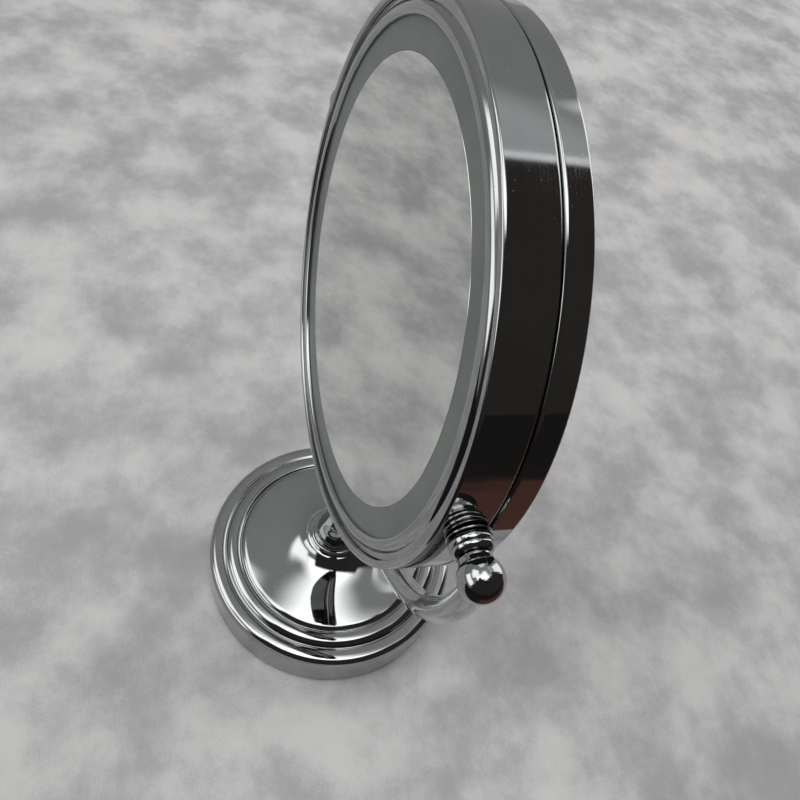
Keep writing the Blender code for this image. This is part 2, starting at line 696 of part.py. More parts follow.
def make_stand_lead():
    """The lead from the switch up the stem, round the right arm of the yoke and into the stud."""
    points = [(0, 57.0, 17.5), (0, 52.0, 20.0), (0, 44.0, 25.0), (0, 30.0, 27.5), (0, 14.0, 29.0)]
    points += [(0, 4.0, 32.0), (0, 0.5, 38.0), (0, 0, 60.0), (0, 0, 90.0), (0, 0, 118.0)]
    points += [(0.3, 0, 127.0), (2.0, 0, 130.4)]
    for i in range(2, 36):
        angle = math.radians(2.5 * i)
        points.append((YOKE_RADIUS * math.sin(angle), 0, PIVOT_HEIGHT - YOKE_RADIUS * math.cos(angle)))
    points += [(YOKE_RADIUS - 0.6, 0, PIVOT_HEIGHT - 1.8), (121.0, 0, PIVOT_HEIGHT - 0.5)]
    points += [(118.0, 0, PIVOT_HEIGHT), (108.0, 0, PIVOT_HEIGHT), (99.4, 0, PIVOT_HEIGHT)]
    lead("stand_lead", points, "lead_jacket")


def empty(name, tilt):
    """An empty on the tilt axis."""
    obj = bpy.data.objects.new(name, None)
    bpy.context.scene.collection.objects.link(obj)
    obj.location = (0, 0, PIVOT_HEIGHT * MM)
    obj.rotation_euler = (math.radians(tilt), 0, 0)
    return obj


def make_head(pivot):
    make_front_housing(pivot)
    make_front_bezel(pivot)
    make_light_diffuser(pivot)
    make_front_mirror(pivot)
    make_led_board(pivot)
    make_head_chassis(pivot)
    make_rear_housing(pivot)
    make_rear_bezel(pivot)
    make_rear_mirror(pivot)
    make_seam_gasket(pivot)
    make_housing_screws(pivot)
    make_head_lead(pivot)


def make_pivots(pivot, centre):
    for side, turn in (("right", (0, 90, 0)), ("left", (0, -90, 0))):
        make_pivot_flange(side, turn, pivot)
        make_pivot_bush(side, turn, pivot)
        make_yoke_ball(side, turn, centre)
        make_pivot_bell(side, turn, centre)
        make_pivot_stud(side, turn, centre)
        make_pivot_washer(side, turn, centre)
        make_pivot_nut(side, turn, centre)


def make_stand(centre):
    make_yoke_tube(centre)
    make_yoke_saddle(centre)
    make_stem()
    make_tie_rod()
    make_stand_lead()


def make_base():
    make_base_shell()
    make_base_weight()
    make_bottom_cover()
    make_feet()
    make_cover_screws()
    make_battery_box()
    make_cells()
    make_contact_strips()
    make_battery_door()
    make_switch()


def main():
    clear_scene()
    pivot = empty("head_pivot", 90 - REST_TILT)
    centre = empty("yoke_centre", 0)
    make_head(pivot)
    make_pivots(pivot, centre)
    make_stand(centre)
    make_base()


main()
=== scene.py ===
"""Looks of the lighted two-sided countertop mirror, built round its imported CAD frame.

Lengths are in millimetres where a shape is drawn and become metres when its mesh is made. Turned
pieces are drawn as closed profiles of (radius, height) round an axis: the head's axis is the
mirror's own, the finials' axis is the tilt axis, and the stand's axis is vertical.
"""

import math

import bmesh
import bpy
from mathutils import Matrix, Vector


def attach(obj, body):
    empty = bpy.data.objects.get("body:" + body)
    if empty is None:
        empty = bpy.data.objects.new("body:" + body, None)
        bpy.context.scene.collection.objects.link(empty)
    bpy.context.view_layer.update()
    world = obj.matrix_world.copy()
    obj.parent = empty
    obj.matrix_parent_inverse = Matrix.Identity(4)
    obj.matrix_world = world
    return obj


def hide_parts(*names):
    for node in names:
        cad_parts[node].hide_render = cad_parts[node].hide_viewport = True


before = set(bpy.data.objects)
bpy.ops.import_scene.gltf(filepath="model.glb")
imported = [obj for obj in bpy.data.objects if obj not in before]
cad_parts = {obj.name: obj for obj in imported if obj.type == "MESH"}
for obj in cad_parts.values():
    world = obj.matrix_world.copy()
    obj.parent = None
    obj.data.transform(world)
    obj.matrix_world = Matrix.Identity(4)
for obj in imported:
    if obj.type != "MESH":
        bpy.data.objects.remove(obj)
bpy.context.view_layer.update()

MM = 0.001

# The head. Depths are measured from the tilt axis, positive towards the plain mirror.
HEAD_RADIUS = 108.0
HEAD_FRONT = 12.7
HEAD_BACK = -16.6
SEAM_DEPTH = -6.2
SEAM_HALF = 0.25
SEAM_ROUND = 1.2
EDGE_ROUND = 1.25
SHELL_INSIDE = 106.5
LIP_RADIUS = 104.9
LIP_ROUND = 0.9
GLASS_FACE = 10.6
MIRROR_RADIUS = 85.4
DIFFUSER_RADII = (85.5, 98.0)
REAR_MIRROR_RADIUS = 93.0
REAR_GLASS_EDGE = -14.5
REAR_CURVE_RADIUS = 900.0
REAR_GLASS_THICKNESS = 2.0
BEZEL_OUTER = 104.6
FRONT_BEZEL_INNER = 96.6
REAR_BEZEL_INNER = 91.0
FRONT_CHANNEL = 2.0
REAR_CHANNEL = 1.1

# The stand.
PIVOT_HEIGHT = 254.5
REST_TILT = 7.2
YOKE_RADIUS = 123.5
TUBE_RADIUS = 5.0
TUBE_BORE = 3.8
TUBE_INSET = 2.0
BALL_RADIUS = 7.9
BALL_NECK = 6.1
BOWL_WAIST = (7.1, 112.6)
FLANGE_BORE = 3.3
STUD_BORE = 3.2
STEM_BORE = 5.1
BEAD_FACE = 6.9
BEAD_HEIGHT = 5.0
BEAD_RADIUS = 8.8
SADDLE_LOW = 115.6
SADDLE_BALL = 8.6
BASE_RADIUS = 74.0
BASE_INSIDE = 72.4
BASE_TOP = 47.0
ROD_HOLE = 5.4
FOOT_CIRCLE = 61.0
SCREW_CIRCLE = 61.5
CELL_RADIUS = 7.1
CELL_LENGTH = 49.3
CELL_PITCH = 14.9
CELL_AXIS_HEIGHT = 13.2
SWITCH_HEIGHT = 17.5
ROCKER_HALF = 7.2
ROCKER_PIVOT_Y = 69.0
ROCKER_TILT = 8.0

# Facets of the fine meshes: sides round the axis, steps along a curve (per turn for a coil), the gap that
# keeps a flat face flat when it is shaded, and the angle from which an edge is sharp.
WIDE_SIDES = 224
STEM_SIDES = 96
SMALL_SIDES = 48
BOWL_STEPS = 60
TUBE_STEPS = 144
COIL_STEPS = 26
HOLD = 0.06
SHARP_ANGLE = math.radians(32)

# Where the camera stands, how far it is turned from looking along +Y, looks down and is rolled, and its lens.
CAMERA_PLACE = (0.2103, -0.0860, 0.4743)
CAMERA_TURN = 64.38
CAMERA_DOWN = 51.74
CAMERA_ROLL = 17.03
CAMERA_LENS = 35.72

# The studio: tones of the room, then light and dark panels, each as its azimuth and elevation spans in
# degrees (azimuth 0 is +X, 90 is +Y), the softness of its borders in degrees, and its radiance. A later
# panel covers an earlier one.
ROOM_LOW = (0.30, 0.305, 0.295)
ROOM_HIGH = (0.42, 0.425, 0.41)
BACKDROP = (0.42, 0.42, 0.43)
STUDIO_PANELS = (
    (((-90, 62), (49, 100)), (26.0, 4.0), (3.2, 3.2, 3.15)),
    (((-400, 400), (80, 100)), (1.0, 8.0), (2.9, 2.9, 2.85)),
    (((98, 126), (-10, 42)), (3.0, 3.0), (2.0, 2.0, 1.95)),
    (((97, 140), (46, 64)), (2.0, 4.0), (0.66, 0.67, 0.66)),
    (((96, 101), (46, 64)), (1.5, 4.0), (1.3, 1.3, 1.3)),
    (((-112, -66), (7, 28)), (4.0, 3.0), (2.2, 2.22, 2.1)),
    (((-132, -88), (36, 64)), (6.0, 6.0), (2.4, 2.4, 2.35)),
    (((-62, 66), (-10, 65)), (4.0, 3.0), (0.040, 0.036, 0.032)),
    (((36, 97), (-10, 58)), (2.0, 3.0), (0.045, 0.040, 0.036)),
)
FLOOR_HALF = 4.0
# A dark card beside the object, which only its polished faces see: near and far edge, height over the
# floor, the strips where its near tone gives way to its far one, outwards and to the side, and the tones.
FLAG_SPAN = (0.235, 4.0)
FLAG_HEIGHT = 0.002
FLAG_FADE = (0.32, 0.48)
FLAG_SIDE_FADE = (-0.06, 0.02)
FLAG_TONES = ((0.115, 0.052, 0.040), (0.020, 0.018, 0.017))


# Profiles.


def arc(centre, radius, start, end, steps):
    """Points of a round stretch, angles in degrees, both ends included."""
    points = []
    for i in range(steps + 1):
        angle = math.radians(start + (end - start) * i / steps)
        points.append((centre[0] + radius * math.cos(angle), centre[1] + radius * math.sin(angle)))
    return points


def bezier(p0, p1, p2, p3, steps):
    """Points of a cubic curve, both ends included."""
    points = []
    for i in range(steps + 1):
        t = i / steps
        weights = ((1 - t) ** 3, 3 * t * (1 - t) ** 2, 3 * t * t * (1 - t), t**3)
        points.append(tuple(sum(w * p[k] for w, p in zip(weights, (p0, p1, p2, p3))) for k in (0, 1)))
    return points


def ring(inner, outer, low, high, bevel=0.15):
    """The profile of a flat ring with eased edges."""
    return [
        (inner, low),
        (outer - bevel, low),
        (outer, low + bevel),
        (outer, high - bevel),
        (outer - bevel, high),
        (inner + bevel, high),
        (inner, high - bevel),
    ]


def disc(radius, low, high, bevel=0.15):
    """The profile of a flat disc with eased edges."""
    face = radius - bevel
    return [(0, low), (face, low), (radius, low + bevel), (radius, high - bevel), (face, high), (0, high)]


def held(profile):
    """The profile with a point close to each end of its long stretches, which keeps them flat when shaded."""
    points = []
    for i, a in enumerate(profile):
        b = profile[(i + 1) % len(profile)]
        points.append(a)
        length = math.dist(a, b)
        if length > 8 * HOLD and not (a[0] == 0 and b[0] == 0):
            for t in (HOLD / length, 1 - HOLD / length):
                points.append((a[0] + (b[0] - a[0]) * t, a[1] + (b[1] - a[1]) * t))
    return points


# Meshes.


def lathe(profile, sides):
    """A closed turned body round Z. A point with radius 0 is a single vertex on the axis."""
    bm = bmesh.new()
    rings = []
    for radius, height in held(profile):
        if radius == 0:
            rings.append([bm.verts.new((0, 0, height * MM))] * sides)
            continue
        loop = []
        for i in range(sides):
            angle = math.tau * i / sides
            x, y = radius * MM * math.cos(angle), radius * MM * math.sin(angle)
            loop.append(bm.verts.new((x, y, height * MM)))
        rings.append(loop)
    for low, high in zip(rings, rings[1:] + rings[:1]):
        if low[0] is low[1] and high[0] is high[1]:
            continue
        for i in range(sides):
            j = (i + 1) % sides
            corners = []
            for vertex in (low[i], low[j], high[j], high[i]):
                if vertex not in corners:
                    corners.append(vertex)
            bm.faces.new(corners)
    return bm


def sweep(path, normal, radii, sides):
    """A tube along a path in the plane square to the normal. Two radii make it hollow, with flat ends."""
    bm = bmesh.new()
    shells = []
    for radius in radii:
        shell = []
        for i, point in enumerate(path):
            ahead = path[min(i + 1, len(path) - 1)] - path[max(i - 1, 0)]
            across = ahead.cross(normal).normalized()
            loop = []
            for k in range(sides):
                angle = math.tau * k / sides
                offset = across * math.cos(angle) + normal * math.sin(angle)
                loop.append(bm.verts.new((point + offset * radius) * MM))
            shell.append(loop)
        shells.append(shell)
    for shell in shells:
        for a, b in zip(shell, shell[1:]):
            for k in range(sides):
                j = (k + 1) % sides
                bm.faces.new((a[k], a[j], b[j], b[k]))
    for end in (0, -1):
        if len(shells) == 1:
            bm.faces.new(shells[0][end])
            continue
        for k in range(sides):
            j = (k + 1) % sides
            near, far = shells[0][end], shells[1][end]
            bm.faces.new((near[k], near[j], far[j], far[k]))
    return bm


def block(low, high, bevel=0.4, segments=3):
    """A box with rounded edges."""
    bm = bmesh.new()
    bmesh.ops.create_cube(bm, size=1)
    for vertex in bm.verts:
        for k in range(3):
            vertex.co[k] = (low[k] if vertex.co[k] < 0 else high[k]) * MM
    if bevel:
        edges = list(bm.edges)
        bmesh.ops.bevel(bm, geom=edges, offset=bevel * MM, segments=segments, profile=0.5, affect="EDGES")
    return bm


def join(parts):
    """One mesh of several."""
    whole = bmesh.new()
    for part in parts:
        mesh = bpy.data.meshes.new("part")
        part.to_mesh(mesh)
        part.free()
        whole.from_mesh(mesh)
        bpy.data.meshes.remove(mesh)
    return whole


def moved(bm, matrix):
    """The mesh, moved by a matrix in metres."""
    bmesh.ops.transform(bm, matrix=matrix, verts=bm.verts)
    return bm


def piece(name, bm, material, body, nodes, matrix=None):
    """A visible piece: its mesh, finish, body, material slot and the CAD nodes it stands for."""
    bmesh.ops.recalc_face_normals(bm, faces=bm.faces)
    mesh = bpy.data.meshes.new(name)
    bm.to_mesh(mesh)
    bm.free()
    for polygon in mesh.polygons:
        polygon.use_smooth = True
    mesh.set_sharp_from_angle(angle=SHARP_ANGLE)
    mesh.materials.append(material)
    obj = bpy.data.objects.new(name, mesh)
    bpy.context.scene.collection.objects.link(obj)
    obj.matrix_world = matrix or Matrix.Identity(4)
    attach(obj, body)
    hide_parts(*nodes)
    return obj


def turned_chrome(name, profile, body, node, matrix=None, sides=STEM_SIDES):
    """A turned piece in polished chrome, standing for one CAD node."""
    return piece(name, lathe(profile, sides), CHROME, body, [node], matrix)


def cut(obj, bm):
    """Takes the shape of bm, in the piece's own frame, out of the piece."""
    bmesh.ops.recalc_face_normals(bm, faces=bm.faces)
    mesh = bpy.data.meshes.new("cutter")
    bm.to_mesh(mesh)
    bm.free()
    cutter = bpy.data.objects.new("cutter", mesh)
    bpy.context.scene.collection.objects.link(cutter)
    cutter.matrix_world = obj.matrix_world
    modifier = obj.modifiers.new("cut", "BOOLEAN")
    modifier.operation = "DIFFERENCE"
    modifier.solver = "EXACT"
    modifier.object = cutter
    graph = bpy.context.evaluated_depsgraph_get()
    result = bpy.data.meshes.new_from_object(obj.evaluated_get(graph), depsgraph=graph)
    obj.modifiers.clear()
    old = obj.data
    obj.data = result
    result.name = obj.name
    bpy.data.meshes.remove(old)
    bpy.data.objects.remove(cutter)
    bpy.data.meshes.remove(mesh)
    for polygon in result.polygons:
        polygon.use_smooth = True
    result.set_sharp_from_angle(angle=SHARP_ANGLE)


# Node helpers.


def add(tree, kind, settings=None, **inputs):
    """A shader node. Each input is a number, a colour or another node's output; _0 means the first input."""
    made = tree.nodes.new("ShaderNode" + kind)
    for key, value in (settings or {}).items():
        setattr(made, key, value)
    for key, value in inputs.items():
        socket = made.inputs[int(key[1:])] if key[0] == "_" else made.inputs[key.replace("_", " ")]
        if isinstance(value, bpy.types.NodeSocket):
            tree.links.new(value, socket)
        else:
            socket.default_value = value
    return made


def math_node(tree, operation, *values):
    """The result of a maths node on those values."""
    inputs = {f"_{i}": value for i, value in enumerate(values)}
    return add(tree, "Math", {"operation": operation}, **inputs).outputs[0]


def noise(tree, vector, scale, detail=2.0, roughness=0.5):
    """Smooth noise, about 0.25 to 0.75, from that vector."""
    made = add(tree, "TexNoise", Vector=vector, Scale=scale, Detail=detail, Roughness=roughness)
    return made.outputs["Fac"]


def remap(tree, value, low, high, out_low, out_high):
    """The value, stretched from one range to another and clamped."""
    inputs = {"Value": value, "From_Min": low, "From_Max": high, "To_Min": out_low, "To_Max": out_high}
    return add(tree, "MapRange", {"interpolation_type": "SMOOTHSTEP"}, **inputs).outputs[0]


def blend(tree, factor, a, b):
    """A colour between a and b."""
    made = add(tree, "Mix", {"data_type": "RGBA"})
    for index, value in ((0, factor), (6, a), (7, b)):
        if isinstance(value, bpy.types.NodeSocket):
            tree.links.new(value, made.inputs[index])
        else:
            made.inputs[index].default_value = value if index == 0 else (*value, 1.0)
    return made.outputs[2]


def start_material(name):
    """A new material with its node tree, Principled shader and object coordinates."""
    material = bpy.data.materials.new(name)
    material.use_nodes = True
    tree = material.node_tree
    shader = tree.nodes["Principled BSDF"]
    place = add(tree, "TexCoord").outputs["Object"]
    return material, tree, shader, place


def around(tree, place, along, across):
    """Coordinates that run round the axis: long in the turning direction, fine across it."""
    parts = add(tree, "SeparateXYZ", Vector=place)
    x, y, z = parts.outputs[0], parts.outputs[1], parts.outputs[2]
    angle = math_node(tree, "ARCTAN2", y, x)
    squares = [math_node(tree, "MULTIPLY", part, part) for part in (x, y)]
    radius = math_node(tree, "SQRT", math_node(tree, "ADD", *squares))
    turn = math_node(tree, "MULTIPLY", angle, along)
    high = math_node(tree, "MULTIPLY", z, across)
    wide = math_node(tree, "MULTIPLY", radius, across)
    return add(tree, "CombineXYZ", X=turn, Y=high, Z=wide).outputs[0], angle, z


# Materials.


def make_chrome(name, colour=(0.37, 0.38, 0.388), roughness=0.028, scratches=0.0, scratch_angle=0.0):
    """Polished chrome plate: smudges, polishing lines round the axis, specks of dust and a faint ripple."""
    material, tree, shader, place = start_material(name)
    lines, angle, height = around(tree, place, 9.0, 5200.0)
    smudge = noise(tree, place, 34.0, 4.0, 0.6)
    haze = remap(tree, smudge, 0.46, 0.72, 0.0, 1.0)
    polish = noise(tree, lines, 1.0, 3.0, 0.7)
    speck = remap(tree, noise(tree, place, 1500.0, 1.0), 0.72, 0.78, 0.0, 1.0)
    rough = math_node(tree, "MULTIPLY_ADD", haze, 0.045, roughness)
    rough = math_node(tree, "MULTIPLY_ADD", speck, 0.16, rough)
    rough = math_node(tree, "MULTIPLY_ADD", remap(tree, polish, 0.5, 0.8, 0.0, 1.0), 0.03, rough)
    tone = blend(tree, haze, colour, tuple(0.93 * c for c in colour))
    tone = blend(tree, math_node(tree, "MULTIPLY", speck, 0.5), tone, (0.75, 0.74, 0.72))
    if scratches:
        fine, _, _ = around(tree, place, 7.0, 7500.0)
        streak = remap(tree, noise(tree, fine, 1.0, 2.0, 0.8), 0.54, 0.66, 0.0, 1.0)
        away = math_node(tree, "ABSOLUTE", math_node(tree, "SUBTRACT", angle, math.radians(scratch_angle)))
        near = remap(tree, away, 0.02, 0.12, 1.0, 0.0)
        deep = remap(tree, height, 0.000, 0.006, 1.0, 0.1)
        streak = math_node(tree, "MULTIPLY", streak, math_node(tree, "MULTIPLY", near, deep))
        rough = math_node(tree, "MULTIPLY_ADD", streak, 0.16 * scratches, rough)
    tree.links.new(rough, shader.inputs["Roughness"])
    tree.links.new(tone, shader.inputs["Base Color"])
    shader.inputs["Metallic"].default_value = 1.0
    ripple = noise(tree, place, 120.0, 2.0)
    wave = add(tree, "Bump", Strength=0.05, Distance=0.00025, Height=ripple)
    turned = add(tree, "Bump", Strength=0.04, Distance=0.00002, Height=polish, Normal=wave.outputs[0])
    tree.links.new(turned.outputs[0], shader.inputs["Normal"])
    return material


def make_mirror():
    """A silvered glass mirror with a breath of haze, a few specks and a clear face."""
    material, tree, shader, place = start_material("silvered_glass")
    haze = remap(tree, noise(tree, place, 22.0, 5.0, 0.62), 0.5, 0.74, 0.0, 1.0)
    speck = remap(tree, noise(tree, place, 900.0, 1.0), 0.75, 0.79, 0.0, 1.0)
    rough = math_node(tree, "MULTIPLY_ADD", haze, 0.03, 0.012)
    rough = math_node(tree, "MULTIPLY_ADD", speck, 0.3, rough)
    tone = blend(tree, haze, (0.58, 0.60, 0.585), (0.53, 0.555, 0.54))
    tone = blend(tree, math_node(tree, "MULTIPLY", speck, 0.4), tone, (0.45, 0.45, 0.44))
    tree.links.new(rough, shader.inputs["Roughness"])
    tree.links.new(tone, shader.inputs["Base Color"])
    shader.inputs["Metallic"].default_value = 1.0
    shader.inputs["Coat Weight"].default_value = 1.0
    shader.inputs["Coat Roughness"].default_value = 0.01
    shader.inputs["Coat IOR"].default_value = 1.52
    return material


def make_frosted():
    """Sand-blasted glass over a dark light channel, with a grain and the faint beat of the lamps under it."""
    material, tree, shader, place = start_material("frosted_glass")
    _, angle, _ = around(tree, place, 1.0, 1.0)
    beat = math_node(tree, "COSINE", math_node(tree, "MULTIPLY", angle, 24.0))
    grain = noise(tree, place, 2600.0, 2.0, 0.7)
    cloud = noise(tree, place, 40.0, 3.0)
    shade = math_node(tree, "MULTIPLY_ADD", beat, 0.03, cloud)
    tone = blend(tree, remap(tree, shade, 0.3, 0.7, 0.0, 1.0), (0.105, 0.122, 0.117), (0.140, 0.158, 0.150))
    tone = blend(tree, remap(tree, grain, 0.35, 0.7, 0.0, 0.35), tone, (0.20, 0.22, 0.21))
    tree.links.new(tone, shader.inputs["Base Color"])
    tree.links.new(remap(tree, grain, 0.3, 0.7, 0.36, 0.5), shader.inputs["Roughness"])
    bump = add(tree, "Bump", Strength=0.25, Distance=0.00004, Height=grain)
    tree.links.new(bump.outputs[0], shader.inputs["Normal"])
    return material


def make_moulded(name, colour, lighter, roughness, grain_scale, grain_depth, sheen=0.0):
    """Moulded plastic or rubber: a fine spark-eroded grain and slightly polished high spots."""
    material, tree, shader, place = start_material(name)
    grain = noise(tree, place, grain_scale, 3.0, 0.6)
    wear = remap(tree, noise(tree, place, 70.0, 4.0, 0.6), 0.42, 0.7, 0.0, 1.0)
    tree.links.new(blend(tree, wear, colour, lighter), shader.inputs["Base Color"])
    rough = remap(tree, grain, 0.3, 0.7, roughness - 0.08, roughness + 0.08)
    tree.links.new(rough, shader.inputs["Roughness"])
    bump = add(tree, "Bump", Strength=0.5, Distance=grain_depth, Height=grain)
    tree.links.new(bump.outputs[0], shader.inputs["Normal"])
    shader.inputs["Sheen Weight"].default_value = sheen
    return material


def make_turned_metal(name, colour, darker, roughness):
    """Bare turned metal: tool lines round the axis, and darker patches."""
    material, tree, shader, place = start_material(name)
    lines, _, _ = around(tree, place, 3.0, 4200.0)
    line = noise(tree, lines, 1.0, 3.0, 0.7)
    patch = remap(tree, noise(tree, place, 160.0, 3.0), 0.4, 0.7, 0.0, 1.0)
    tree.links.new(blend(tree, patch, colour, darker), shader.inputs["Base Color"])
    rough = remap(tree, line, 0.3, 0.7, roughness - 0.08, roughness + 0.12)
    tree.links.new(rough, shader.inputs["Roughness"])
    shader.inputs["Metallic"].default_value = 1.0
    bump = add(tree, "Bump", Strength=0.3, Distance=0.00003, Height=line)
    tree.links.new(bump.outputs[0], shader.inputs["Normal"])
    return material


def make_cast_iron():
    """Painted rough casting."""
    material, tree, shader, place = start_material("painted_casting")
    coarse = noise(tree, place, 500.0, 5.0, 0.7)
    tone = blend(tree, coarse, (0.03, 0.03, 0.032), (0.09, 0.088, 0.085))
    tree.links.new(tone, shader.inputs["Base Color"])
    tree.links.new(remap(tree, coarse, 0.3, 0.7, 0.45, 0.8), shader.inputs["Roughness"])
    shader.inputs["Metallic"].default_value = 0.3
    bump = add(tree, "Bump", Strength=0.8, Distance=0.0003, Height=coarse)
    tree.links.new(bump.outputs[0], shader.inputs["Normal"])
    return material


def make_board():
    """White solder resist with a woven glass grain under it."""
    material, tree, shader, place = start_material("white_resist")
    weave = add(tree, "TexChecker", Vector=place, Scale=900.0).outputs["Fac"]
    cloud = noise(tree, place, 220.0, 3.0)
    mixed = math_node(tree, "MULTIPLY_ADD", weave, 0.12, cloud)
    tone = blend(tree, mixed, (0.66, 0.67, 0.64), (0.80, 0.80, 0.77))
    tree.links.new(tone, shader.inputs["Base Color"])
    tree.links.new(remap(tree, cloud, 0.3, 0.7, 0.25, 0.4), shader.inputs["Roughness"])
    bump = add(tree, "Bump", Strength=0.2, Distance=0.00003, Height=mixed)
    tree.links.new(bump.outputs[0], shader.inputs["Normal"])
    return material


def make_cell_jacket():
    """A printed film sleeve: green with a copper band at one end, flecked, under clear lacquer."""
    material, tree, shader, place = start_material("cell_sleeve")
    parts = add(tree, "SeparateXYZ", Vector=place)
    band = remap(tree, parts.outputs[2], 0.0125, 0.0128, 0.0, 1.0)
    flake = noise(tree, place, 3000.0, 2.0)
    tone = blend(tree, band, (0.015, 0.10, 0.06), (0.62, 0.28, 0.12))
    tone = blend(tree, remap(tree, flake, 0.5, 0.7, 0.0, 0.25), tone, (0.75, 0.75, 0.7))
    tree.links.new(tone, shader.inputs["Base Color"])
    tree.links.new(math_node(tree, "MULTIPLY_ADD", band, 0.7, 0.2), shader.inputs["Metallic"])
    tree.links.new(remap(tree, flake, 0.3, 0.7, 0.2, 0.35), shader.inputs["Roughness"])
    shader.inputs["Coat Weight"].default_value = 0.6
    bump = add(tree, "Bump", Strength=0.1, Distance=0.00003, Height=flake)
    tree.links.new(bump.outputs[0], shader.inputs["Normal"])
    return material


def make_floor_material():
    """A pale grey felted cloth, faintly mottled."""
    material, tree, shader, place = start_material("pale_floor")
    cloud = noise(tree, place, 14.0, 5.0, 0.62)
    fibre = noise(tree, place, 900.0, 3.0, 0.7)
    mixed = math_node(tree, "MULTIPLY_ADD", fibre, 0.25, cloud)
    tone = blend(tree, remap(tree, mixed, 0.45, 0.8, 0.0, 1.0), (0.41, 0.402, 0.42), (0.70, 0.69, 0.70))
    tree.links.new(tone, shader.inputs["Base Color"])
    shader.inputs["Roughness"].default_value = 0.9
    bump = add(tree, "Bump", Strength=0.35, Distance=0.0006, Height=fibre)
    tree.links.new(bump.outputs[0], shader.inputs["Normal"])
    return material


def frame_at(axis):
    """The matrix that stands a turned piece's own axis on the tilt axis's middle, pointing along axis."""
    turn = Vector((0, 0, 1)).rotation_difference(Vector(axis)).to_matrix().to_4x4()
    return Matrix.Translation((0, 0, PIVOT_HEIGHT * MM)) @ turn


CENTRE = Matrix.Translation((0, 0, PIVOT_HEIGHT * MM))
HEAD = CENTRE @ Matrix.Rotation(math.radians(90 - REST_TILT), 4, "X")
SIDES = (("right", frame_at((1, 0, 0))), ("left", frame_at((-1, 0, 0))))

CHROME = make_chrome("polished_chrome")
DRUM_CHROME = make_chrome("polished_chrome_drum", scratches=1.0, scratch_angle=61.0)
MIRROR = make_mirror()
FROSTED = make_frosted()
RUBBER = make_moulded("soft_rubber", (0.022, 0.022, 0.023), (0.05, 0.05, 0.05), 0.75, 1800.0, 0.00008, 0.2)
BLACK = make_moulded("black_moulding", (0.018, 0.018, 0.02), (0.03, 0.03, 0.032), 0.45, 1400.0, 0.00006)
GLOSS_BLACK = make_moulded(
    "glossy_black_moulding", (0.012, 0.012, 0.013), (0.02, 0.02, 0.02), 0.2, 700.0, 0.00001
)
WHITE = make_moulded("white_moulding", (0.72, 0.72, 0.70), (0.66, 0.655, 0.63), 0.45, 1200.0, 0.00004)
STEEL = make_turned_metal("bare_steel", (0.50, 0.50, 0.51), (0.38, 0.375, 0.37), 0.32)
BRASS = make_turned_metal("turned_brass", (0.70, 0.50, 0.22), (0.55, 0.36, 0.15), 0.28)
IRON = make_cast_iron()
BOARD = make_board()
CELL = make_cell_jacket()
RED_JACKET = make_moulded("red_lead_jacket", (0.50, 0.02, 0.015), (0.56, 0.05, 0.04), 0.42, 1500.0, 0.00003)

KEPT_FINISHES = {
    "mirror_glass": MIRROR,
    "polished_chrome": CHROME,
    "frosted_white": FROSTED,
    "black_plastic": BLACK,
    "white_plastic": WHITE,
    "circuit_board": BOARD,
    "brass": BRASS,
    "steel": STEEL,
    "cast_iron": IRON,
    "rubber": RUBBER,
    "cell_jacket": CELL,
    "lead_jacket": RED_JACKET,
}


# The head.


def make_drum_shell(name, profile, node):
    """One half of the drum, in the chrome that has the scratched patch."""
    piece(name, lathe(profile, WIDE_SIDES), DRUM_CHROME, "head", [node], HEAD)


def make_front_housing():
    """The drum's wide front shell, from the seam to the rounded edge beside the bezel."""
    edge = HEAD_FRONT - EDGE_ROUND
    seam = SEAM_DEPTH + SEAM_HALF
    profile = arc((HEAD_RADIUS - SEAM_ROUND, seam + SEAM_ROUND), SEAM_ROUND, -90, 0, 8)
    profile += arc((HEAD_RADIUS - EDGE_ROUND, edge), EDGE_ROUND, 0, 90, 12)
    profile += arc((LIP_RADIUS + LIP_ROUND, HEAD_FRONT - LIP_ROUND), LIP_ROUND, 90, 180, 6)
    profile += [(LIP_RADIUS, 8.6), (98.9, 8.6), (98.9, 7.0), (SHELL_INSIDE, 7.0), (SHELL_INSIDE, seam)]
    make_drum_shell("drum_front", profile, "front_housing")


def make_rear_housing():
    """The drum's narrow rear shell."""
    edge = HEAD_BACK + EDGE_ROUND
    seam = SEAM_DEPTH - SEAM_HALF
    profile = arc((HEAD_RADIUS - SEAM_ROUND, seam - SEAM_ROUND), SEAM_ROUND, 0, 90, 8)
    profile += [(SHELL_INSIDE, seam), (SHELL_INSIDE, -11.0), (94.5, -11.0), (94.5, -12.6)]
    profile += [(LIP_RADIUS, -12.6)]
    profile += arc((LIP_RADIUS + LIP_ROUND, HEAD_BACK + LIP_ROUND), LIP_ROUND, 180, 270, 6)
    profile += arc((HEAD_RADIUS - EDGE_ROUND, edge), EDGE_ROUND, 270, 360, 12)
    make_drum_shell("drum_rear", profile, "rear_housing")


def bezel_profile(inner, outer, face, ledge, fall):
    """A trim ring: a rounded lip over the glass, a domed band, and a channel beside the drum's edge."""
    middle = (inner + outer) / 2
    floor = face - fall
    under = floor - 1.1
    rise = (outer - 2.7, floor + 0.5)
    crown = (inner + 2.0, face)
    profile = [(outer, ledge), (outer, floor), (outer - 1.6, floor)]
    profile += bezier((outer - 2.0, floor), (outer - 2.4, floor + 0.05), (outer - 2.5, floor + 0.3), rise, 5)
    profile += bezier(rise, (middle + 0.4, face - 0.5), (inner + 3.4, face), crown, 16)[1:]
    profile += arc((inner + 1.5, face - 1.5), 1.5, 90, 180, 12)
    profile += [(inner, face - 1.7), (inner + 2.9, face - 1.7), (inner + 2.9, under)]
    return profile + [(outer - 1.5, under), (outer - 1.5, ledge)]


